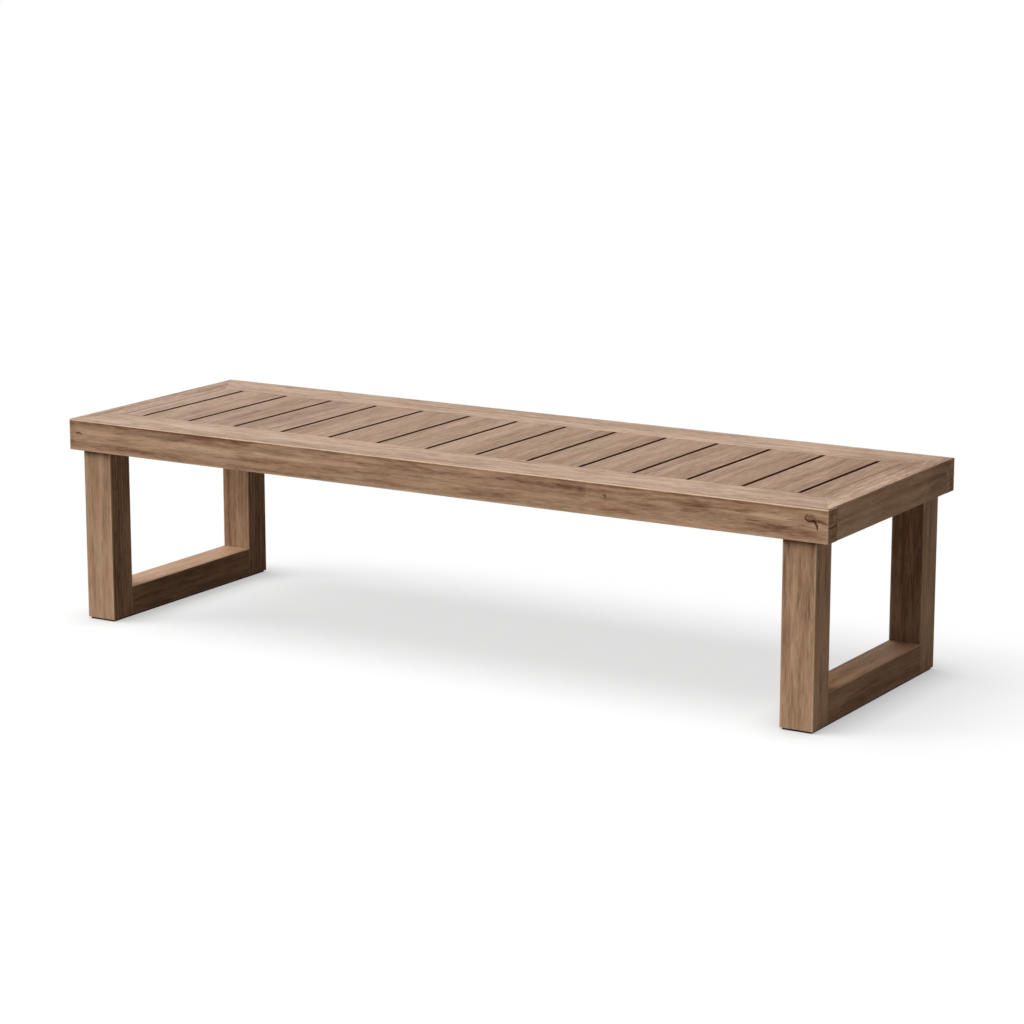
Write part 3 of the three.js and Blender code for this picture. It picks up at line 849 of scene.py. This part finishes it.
# ---- legs ----
LEG_EDGES = edges_of(X, Y)
POST_STEP = (1.6 * MM, 1.6 * MM, 5 * MM)
POST_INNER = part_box("back_left_post")[0].y


def post(depth_side, side, seed, marks=(), tone=0.0):
    node = f"{depth_side}_{side}_post"
    low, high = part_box(node)
    outward = FACING[depth_side]
    shoulder = APRON_BOTTOM - JOINT_GAP

    def solid(x, y, z):
        return (z < shoulder) | (outward * y < APRON_INNER)

    upright = (low.z, shoulder)
    marks = [
        *marks,
        # Painted light and shade: the outer side lighter, the inner side and the inner end darker.
        painted_face_shading(X, FACING[side], 0.09),
        painted_face_shading(X, -FACING[side], -0.36),
        painted_face_shading(Y, -outward, -0.20),
        # Painted shade right under the apron and down the upper post, and painted light near the floor.
        painted_level_shading(shoulder, 7 * MM, -0.35, 0.25),
        painted_level_shading(shoulder, 150 * MM, -0.12),
        painted_level_shading(0.0, 120 * MM, 0.06),
    ]
    for axis, facing in ((X, -1), (X, 1), (Y, -1), (Y, 1)):
        across = Y if axis == X else X
        face = (axis, facing, across, Z)
        span = (low[across], high[across])
        marks += random_marks(face, span, upright, seed * 10 + axis + facing, Z, 7, 7, 0.28)
    board(
        node, LEG_WOOD, Z, seed, POST_STEP, easy=LEG_EDGES, easy_radius=LEG_EDGE_RADIUS,
        worn_and_lit=0.45, marks=marks, solid=solid, cuts=((), (outward * APRON_INNER,), (shoulder,)), tone=tone,
        figure=0.88,
    )


RIGHT_POST_BLOTS = (
    (20, 90, 9, 110, 0.20), (20, 280, 9, 90, 0.14), (37, 60, 5, 60, -0.12),
    (40, 120, 9, 50, -0.10), (52, 60, 6, 50, 0.08), (60, 190, 6, 50, 0.14),
    (38, 240, 6, 70, -0.12), (62, 320, 5, 30, 0.10), (4, 120, 4, 160, -0.12),
)
RIGHT_POST_SPLITS = (
    (((36, 66), (35, 84), (37, 96)), 2.4, 0.5, 0.30),
    (((33, 96), (35, 108), (34, 124), (37, 140)), 2.4, 0.5, 0.55),
    (((54, 124), (58, 132), (60, 146), (66, 158)), 2.4, 0.5, 0.45),
    (((36, 188), (34, 204), (36, 218)), 2.4, 0.5, 0.35),
    (((58, 208), (57, 222)), 2.4, 0.5, 0.30),
    (((8, 96), (10, 110), (9, 128)), 2.4, 0.5, 0.30),
)


def right_front_post_marks():
    """The long dark streak and checks in the front face of the right front post."""
    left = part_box("front_right_post")[0].x

    def place(across, below):
        return (left + across * MM, APRON_BOTTOM - below * MM)

    return blots(place, RIGHT_POST_BLOTS, 600) + splits(FRONT, place, RIGHT_POST_SPLITS)


post("front", "left", 401, tone=0.06)
post("front", "right", 402, right_front_post_marks(), tone=-0.05)
post("back", "left", 403)
post("back", "right", 404, tone=-0.11)


def between_posts(node):
    """The part of a leg rail that shows between its posts, as a box."""
    low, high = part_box(node)
    reach = POST_INNER - JOINT_GAP
    return Vector((low.x, -reach, low.z)), Vector((high.x, reach, high.z))


for index, side in enumerate(("left", "right")):
    node = f"{side}_floor_stretcher"
    low, high = between_posts(node)
    # Painted shade on both sides, the inner one most, and painted light on the top.
    marks = [painted_face_shading(X, FACING[side], -0.19), painted_face_shading(X, -FACING[side], -0.34), painted_face_shading(Z, 1, 0.06)]
    for axis, facing, across in ((X, -1, Z), (X, 1, Z), (Z, 1, X)):
        face = (axis, facing, Y, across)
        spans = ((low.y, high.y), (low[across], high[across]))
        marks += random_marks(face, *spans, 700 + index * 10 + axis + facing, Y, 8, 6, 0.35)
    board(
        node, LEG_WOOD, Y, 411 + index, (1.8 * MM, 5 * MM, 1.8 * MM), easy=edges_of(X, Z),
        easy_radius=LEG_EDGE_RADIUS, marks=marks, box=(low, high), figure=0.6,
    )

# ---- hidden rails ----
HIDDEN_STEP = (6 * MM, 6 * MM, 5 * MM)
HIDDEN_BOARDS = (
    ("front_slat_cleat", X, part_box), ("back_slat_cleat", X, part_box), ("centre_cross_brace", Y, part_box),
    ("left_leg_top_rail", Y, between_posts), ("right_leg_top_rail", Y, between_posts),
)
for seed, (node, grain_axis, box_of) in enumerate(HIDDEN_BOARDS, start=801):
    board(
        node, HIDDEN_WOOD, grain_axis, seed, HIDDEN_STEP, easy=edges_of(X, Y, Z),
        easy_radius=HIDDEN_EDGE_RADIUS, box=box_of(node),
    )

# ---- metal and plastic ----


def zinc():
    """Zinc-plated steel, with faint spangle, dull patches and a trace of rust in its hollows."""
    s = Shader("zinc_steel")
    place = s.node("TexCoord").outputs["Object"]
    cloud = s.node("TexNoise", {"Vector": place, "Scale": 260.0, "Detail": 4.0}).outputs[0]
    spangle = s.node("TexVoronoi", {"Vector": place, "Scale": 700.0}).outputs["Distance"]
    scratch = s.node("TexNoise", {"Vector": place, "Scale": 1400.0, "Detail": 2.0}).outputs[0]
    colour = s.blend(s.remap(cloud, 0.35, 0.65), linear(150, 151, 150), linear(186, 187, 186))
    colour = s.blend(s.remap(spangle, 0.0, 0.7, 0.0, 0.25), colour, linear(120, 122, 124))
    colour = s.blend(s.remap(cloud, 0.62, 0.74, 0.0, 0.55), colour, linear(118, 78, 52))
    bump = s.node("Bump", {"Height": scratch, "Strength": 0.3, "Distance": 0.1 * MM}).outputs[0]
    roughness = s.remap(cloud, 0.3, 0.7, 0.30, 0.55)
    return s.surface({"Base Color": colour, "Metallic": 0.9, "Roughness": roughness, "Normal": bump})


def plastic():
    """Dark moulded plastic with a fine grain and floor scuffs."""
    s = Shader("strip_plastic")
    place = s.node("TexCoord").outputs["Object"]
    grain = s.node("TexNoise", {"Vector": place, "Scale": 1600.0, "Detail": 2.0}).outputs[0]
    scuff = s.node("TexNoise", {"Vector": place, "Scale": 140.0, "Detail": 5.0}).outputs[0]
    colour = s.blend(s.remap(scuff, 0.52, 0.70, 0.0, 0.6), linear(22, 18, 16), linear(50, 44, 40))
    bump = s.node("Bump", {"Height": grain, "Strength": 0.4, "Distance": 0.1 * MM}).outputs[0]
    return s.surface({"Base Color": colour, "Roughness": s.remap(scuff, 0.3, 0.7, 0.5, 0.75), "Normal": bump})


ZINC = zinc()
PLASTIC = plastic()
TURN = 2 * math.pi
CRISP_ANGLE = math.radians(32)


def loft(rings, closed=False):
    """Joins rings of points into one skin. A closed loft meets itself; an open one gets flat caps."""
    count = len(rings[0])
    faces = []
    for ring in range(len(rings) if closed else len(rings) - 1):
        here, after = ring * count, (ring + 1) % len(rings) * count
        for i in range(count):
            j = (i + 1) % count
            faces.append([here + i, here + j, after + j, after + i])
    if not closed:
        last = (len(rings) - 1) * count
        faces += [list(range(count))[::-1], list(range(last, last + count))]
    return np.concatenate(rings), faces


def add_moulded(name, skins, material):
    """Makes one piece with crisp edges out of one or more skins."""
    points, faces = [], []
    for skin_points, skin_faces in skins:
        faces += [[index + len(points) for index in face] for face in skin_faces]
        points += skin_points.tolist()
    piece = add_mesh(name, points, faces, material)
    bm = bmesh.new()
    bm.from_mesh(piece.data)
    bmesh.ops.recalc_face_normals(bm, faces=bm.faces)
    bm.to_mesh(piece.data)
    bm.free()
    piece.data.set_sharp_from_angle(angle=CRISP_ANGLE)
    return piece


SCREW_STEPS = 36
SCREW_TURN = np.arange(SCREW_STEPS) * TURN / SCREW_STEPS
SCREW_RADIUS = 4 * MM
HEAD_FLAT = 6.5 * MM  # half of the head's width across its flats
HEAD_HEIGHT = 5.5 * MM
HEAD_FACE = 0.93  # the head's flat face inside the chamfer, in shares of HEAD_FLAT
THREAD_PITCH = 3.5 * MM
THREAD_DEPTH = 0.9 * MM
THREAD_RINGS = 90


def ring_about_y(radii, y, x, z):
    """A ring round an axis along Y. radii is one radius, or one for each step."""
    across, up = x + radii * np.cos(SCREW_TURN), z + radii * np.sin(SCREW_TURN)
    return np.stack([across, np.full(SCREW_STEPS, y), up], axis=1)


def coach_screw(node):
    """A hexagon head with turned-down corners, a plain neck and a coarse thread that ends in a point."""
    low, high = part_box(node)
    x, z = (low.x + high.x) / 2, (low.z + high.z) / 2
    out = 1 if low.y + high.y > 0 else -1
    outer, tip = (low.y, high.y) if out > 0 else (high.y, low.y)
    length = abs(tip - outer)
    hexagon = HEAD_FLAT / np.cos((SCREW_TURN + TURN / 12) % (TURN / 6) - TURN / 12)
    chamfer = (hexagon - HEAD_FACE * HEAD_FLAT) * math.tan(math.radians(30))
    rings = []
    for share, drop in ((0.55, 0.35 * MM), (0.80, 0.05 * MM), (HEAD_FACE, 0.0)):
        rings.append(ring_about_y(share * HEAD_FLAT, outer + out * drop, x, z))
    rings.append(ring_about_y(hexagon, outer + out * chamfer, x, z))
    neck = outer + out * HEAD_HEIGHT
    rings.append(ring_about_y(hexagon * 0.995, neck, x, z))
    rings.append(ring_about_y(SCREW_RADIUS, neck, x, z))
    for share in np.linspace(0.02, 1.0, THREAD_RINGS):
        along = (length - HEAD_HEIGHT) * share
        phase = (along / THREAD_PITCH - SCREW_TURN / TURN) % 1
        ridge = np.exp(-(((phase - 0.5) / 0.14) ** 2)) * smooth((share - 0.42) / 0.06)
        taper = smooth((1.0 - share) / 0.10) * 0.88 + 0.12
        radii = (SCREW_RADIUS - THREAD_DEPTH * smooth((share - 0.40) / 0.05) * (1 - ridge)) * taper
        rings.append(ring_about_y(radii, neck + out * along, x, z))
    return add_moulded(f"{node}_steel", [loft(rings)], ZINC)


def washer(node):
    """A flat ring with rounded rims."""
    low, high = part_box(node)
    x, z = (low.x + high.x) / 2, (low.z + high.z) / 2
    outer, inner, rim = (high.x - low.x) / 2, 4.5 * MM, 0.35 * MM
    rings = []
    for radius, y in (
        (inner + rim, low.y), (outer - rim, low.y), (outer - 0.1 * MM, low.y + 0.1 * MM),
        (outer, low.y + rim), (outer, high.y - rim), (outer - 0.1 * MM, high.y - 0.1 * MM),
        (outer - rim, high.y), (inner + rim, high.y), (inner, high.y - rim), (inner, low.y + rim),
    ):
        rings.append(ring_about_y(radius, y, x, z))
    return add_moulded(f"{node}_steel", [loft(rings, closed=True)], ZINC)


for depth_side, index in itertools.product(("front", "back"), range(1, 5)):
    for kind, make in (("coach_screw", coach_screw), ("washer", washer)):
        node = f"{depth_side}_{kind}_{index}"
        stands_for(make(node), node)


STRIP_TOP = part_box("front_left_post")[0].z - JOINT_GAP
STRIP_CORNER = 5 * MM
CORNER_STEPS = 6


def strip_outline(low, high, inset, z):
    """A rectangle with round corners, as a ring of points at one height."""
    reach = STRIP_CORNER - inset
    points = []
    for quarter, (sx, sy) in enumerate(((1, 1), (-1, 1), (-1, -1), (1, -1))):
        cx = (high.x if sx > 0 else low.x) - sx * STRIP_CORNER
        cy = (high.y if sy > 0 else low.y) - sy * STRIP_CORNER
        for turn in np.linspace(0, TURN / 4, CORNER_STEPS) + quarter * TURN / 4:
            points.append((cx + reach * math.cos(turn), cy + reach * math.sin(turn), z))
    return np.array(points)


def floor_strip(node):
    """A moulded strip under a leg frame, with an eased rim and a shallow channel along its underside."""
    low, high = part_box(node)
    rings = []
    for inset, z in (
        (0.6 * MM, STRIP_TOP), (0.15 * MM, STRIP_TOP - 0.15 * MM), (0.0, STRIP_TOP - 0.6 * MM),
        (0.0, 0.7 * MM), (0.2 * MM, 0.2 * MM), (0.7 * MM, 0.0),
        (3.2 * MM, 0.0), (3.6 * MM, 0.25 * MM), (4.0 * MM, 0.9 * MM),
    ):
        rings.append(strip_outline(low, high, inset, z))
    return add_moulded(f"{node}_moulded", [loft(rings)], PLASTIC)


for side in ("left", "right"):
    node = f"{side}_floor_strip"
    stands_for(floor_strip(node), node)

# ---- screws under the cleats ----
HEAD_RADIUS = 4.2 * MM
HEAD_RISE = 2.1 * MM
HEAD_PROFILE = ((1.0, 0.0), (1.0, 0.18), (0.93, 0.45), (0.82, 0.74), (0.70, 0.93), (0.62, 1.0))
CROSS_OUTLINE = (0.52, 0.54, 0.29, 0.21, 0.29, 0.54)  # a quarter of the cross recess, in head radii
CROSS_RISE = 0.4  # where the recess ends, as a share of the head's rise
SCREW_SPREAD = 31 * MM  # from the middle of a slat
ROW_OFFSET = 13 * MM  # from the middle of the cleat


def pan_head(x, y, z, twist):
    """A round head under a board, with a cross recess in its face."""
    outline = np.tile(CROSS_OUTLINE, 4)
    turn = np.arange(len(outline)) * TURN / len(outline) + twist
    shapes = [(np.full(len(turn), share), rise) for share, rise in HEAD_PROFILE]
    shapes += [(outline, 1.0), (0.85 * outline, CROSS_RISE)]
    rings = []
    for share, rise in shapes:
        reach = HEAD_RADIUS * share
        ring = [x + reach * np.cos(turn), y + reach * np.sin(turn), np.full(len(turn), z - HEAD_RISE * rise)]
        rings.append(np.stack(ring, axis=1))
    return loft(rings)


def cleat_screws(depth_side):
    """The screws that hold slats and border to one cleat: two for each slat, and one beside each slat."""
    low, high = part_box(f"{depth_side}_slat_cleat")
    outward = FACING[depth_side]
    middle = (low.y + high.y) / 2
    rng = np.random.default_rng(900 + outward)
    heads = []
    for number in range(1, len(STAVE_TONES) + 1):
        slat_low, slat_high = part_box(f"slat_{number:02d}")
        centre = (slat_low.x + slat_high.x) / 2
        pitch = slat_high.x - slat_low.x + SLAT_GAP
        spots = [(centre - SCREW_SPREAD, -1), (centre + SCREW_SPREAD, -1), (centre + pitch / 2, 1)]
        for x, row in spots:
            if x < slat_high.x or number < len(STAVE_TONES):
                heads.append(pan_head(x, middle + row * outward * ROW_OFFSET, low.z, rng.uniform(0, TURN)))
    piece = add_moulded(f"{depth_side}_cleat_screws", heads, ZINC)
    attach(piece, BODY)


cleat_screws("front")
cleat_screws("back")

# ---- camera, floor and light ----
CAMERA_PLACE = (3.253, -5.301, 1.616)
CAMERA_YAW = math.radians(31.26)
CAMERA_PITCH = math.radians(12.15)
CAMERA_LENS = 108.8
FLOOR_REACH = 150.0
FLOOR_GLOW = 0.72  # the share of the floor's brightness that no shadow takes away
FLOOR_BOUNCE = 0.38  # what the bench sees of the floor
CONTACT_REACH = 0.09
CONTACT_GLOW = 0.62


def add_camera():
    data = bpy.data.cameras.new("camera")
    data.lens = CAMERA_LENS
    data.sensor_width = 36.0
    data.clip_end = 500.0
    camera = add_object("camera", data)
    camera.location = CAMERA_PLACE
    camera.rotation_euler = (math.pi / 2 - CAMERA_PITCH, 0.0, CAMERA_YAW)
    bpy.context.scene.camera = camera


def add_floor():
    """A pale floor. Most of what the camera sees of it is glow, so that its shadows stay light."""
    s = Shader("studio_floor")
    seen = s.node("LightPath").outputs["Is Camera Ray"]
    pale = s.node("BsdfDiffuse", {"Color": (0.92, 0.92, 0.92, 1.0)}).outputs[0]
    # Near the bench the glow is dimmed by ambient occlusion: a painted contact shadow on the floor.
    open_sky = s.node("AmbientOcclusion", {"Distance": CONTACT_REACH}, samples=16).outputs["AO"]
    strength = s.remap(open_sky, 0.4, 1.0, CONTACT_GLOW, 1.0)
    glow = s.node("Emission", {"Color": (1.0, 1.0, 1.0, 1.0), "Strength": strength}).outputs[0]
    lit = s.node("MixShader", {0: FLOOR_GLOW, 1: pale, 2: glow}).outputs[0]
    even = s.node("Emission", {"Color": (1.0, 0.975, 0.95, 1.0), "Strength": FLOOR_BOUNCE}).outputs[0]
    shaded = s.node("BsdfDiffuse", {"Color": (0.40, 0.39, 0.38, 1.0)}).outputs[0]
    bounce = s.node("MixShader", {0: 0.4, 1: shaded, 2: even}).outputs[0]
    s.node("OutputMaterial", {"Surface": s.node("MixShader", {0: seen, 1: bounce, 2: lit}).outputs[0]})
    corners = [(x * FLOOR_REACH, y * FLOOR_REACH, 0.0) for x, y in ((-1, -1), (1, -1), (1, 1), (-1, 1))]
    floor = add_mesh("studio_floor", corners, [range(4)], s.material)
    return floor


def lit_by_choice(name, floor, state):
    """A group of receivers for a sun: only the floor, or everything but the floor."""
    group = bpy.data.collections.new(name)
    group.objects.link(floor)
    group.collection_objects[0].light_linking.link_state = state
    return group


def add_sun(name, towards, strength, angle, colour, receivers):
    data = bpy.data.lights.new(name, "SUN")
    data.energy = strength
    data.angle = math.radians(angle)
    data.color = colour
    lamp = add_object(name, data)
    lamp.rotation_euler = Vector(towards).to_track_quat("Z", "Y").to_euler()
    lamp.light_linking.receiver_collection = receivers


def add_world():
    """A white background that lights nothing."""
    world = bpy.data.worlds.new("studio_world")
    world.use_nodes = True
    nodes = world.node_tree.nodes
    nodes["Background"].inputs["Color"].default_value = (1.0, 1.0, 1.0, 1.0)
    seen = nodes.new("ShaderNodeLightPath").outputs["Is Camera Ray"]
    world.node_tree.links.new(seen, nodes["Background"].inputs["Strength"])
    bpy.context.scene.world = world


add_camera()
floor = add_floor()
BENCH = lit_by_choice("all_but_floor", floor, "EXCLUDE")
FLOOR = lit_by_choice("floor_alone", floor, "INCLUDE")
add_sun("key_front", (-0.5, -0.6, 0.62), 1.85, 45, (0.86, 0.90, 1.0), BENCH)
add_sun("key_left", (-0.7, -0.3, 0.65), 1.0, 45, (1.0, 1.0, 0.98), BENCH)
add_sun("overhead", (0.0, 0.0, 1.0), 1.0, 90, (1.0, 0.80, 0.68), BENCH)
add_sun("rear_left", (-0.5, 0.5, 0.7), 1.25, 45, (0.86, 0.95, 1.0), BENCH)
add_sun("floor_high", (-0.30, -0.18, 0.94), 3.2, 42, (1.0, 1.0, 1.0), FLOOR)
add_sun("floor_low", (-0.66, -0.38, 0.64), 0.65, 20, (1.0, 1.0, 1.0), FLOOR)
add_world()
bpy.context.scene.view_settings.view_transform = "Standard"
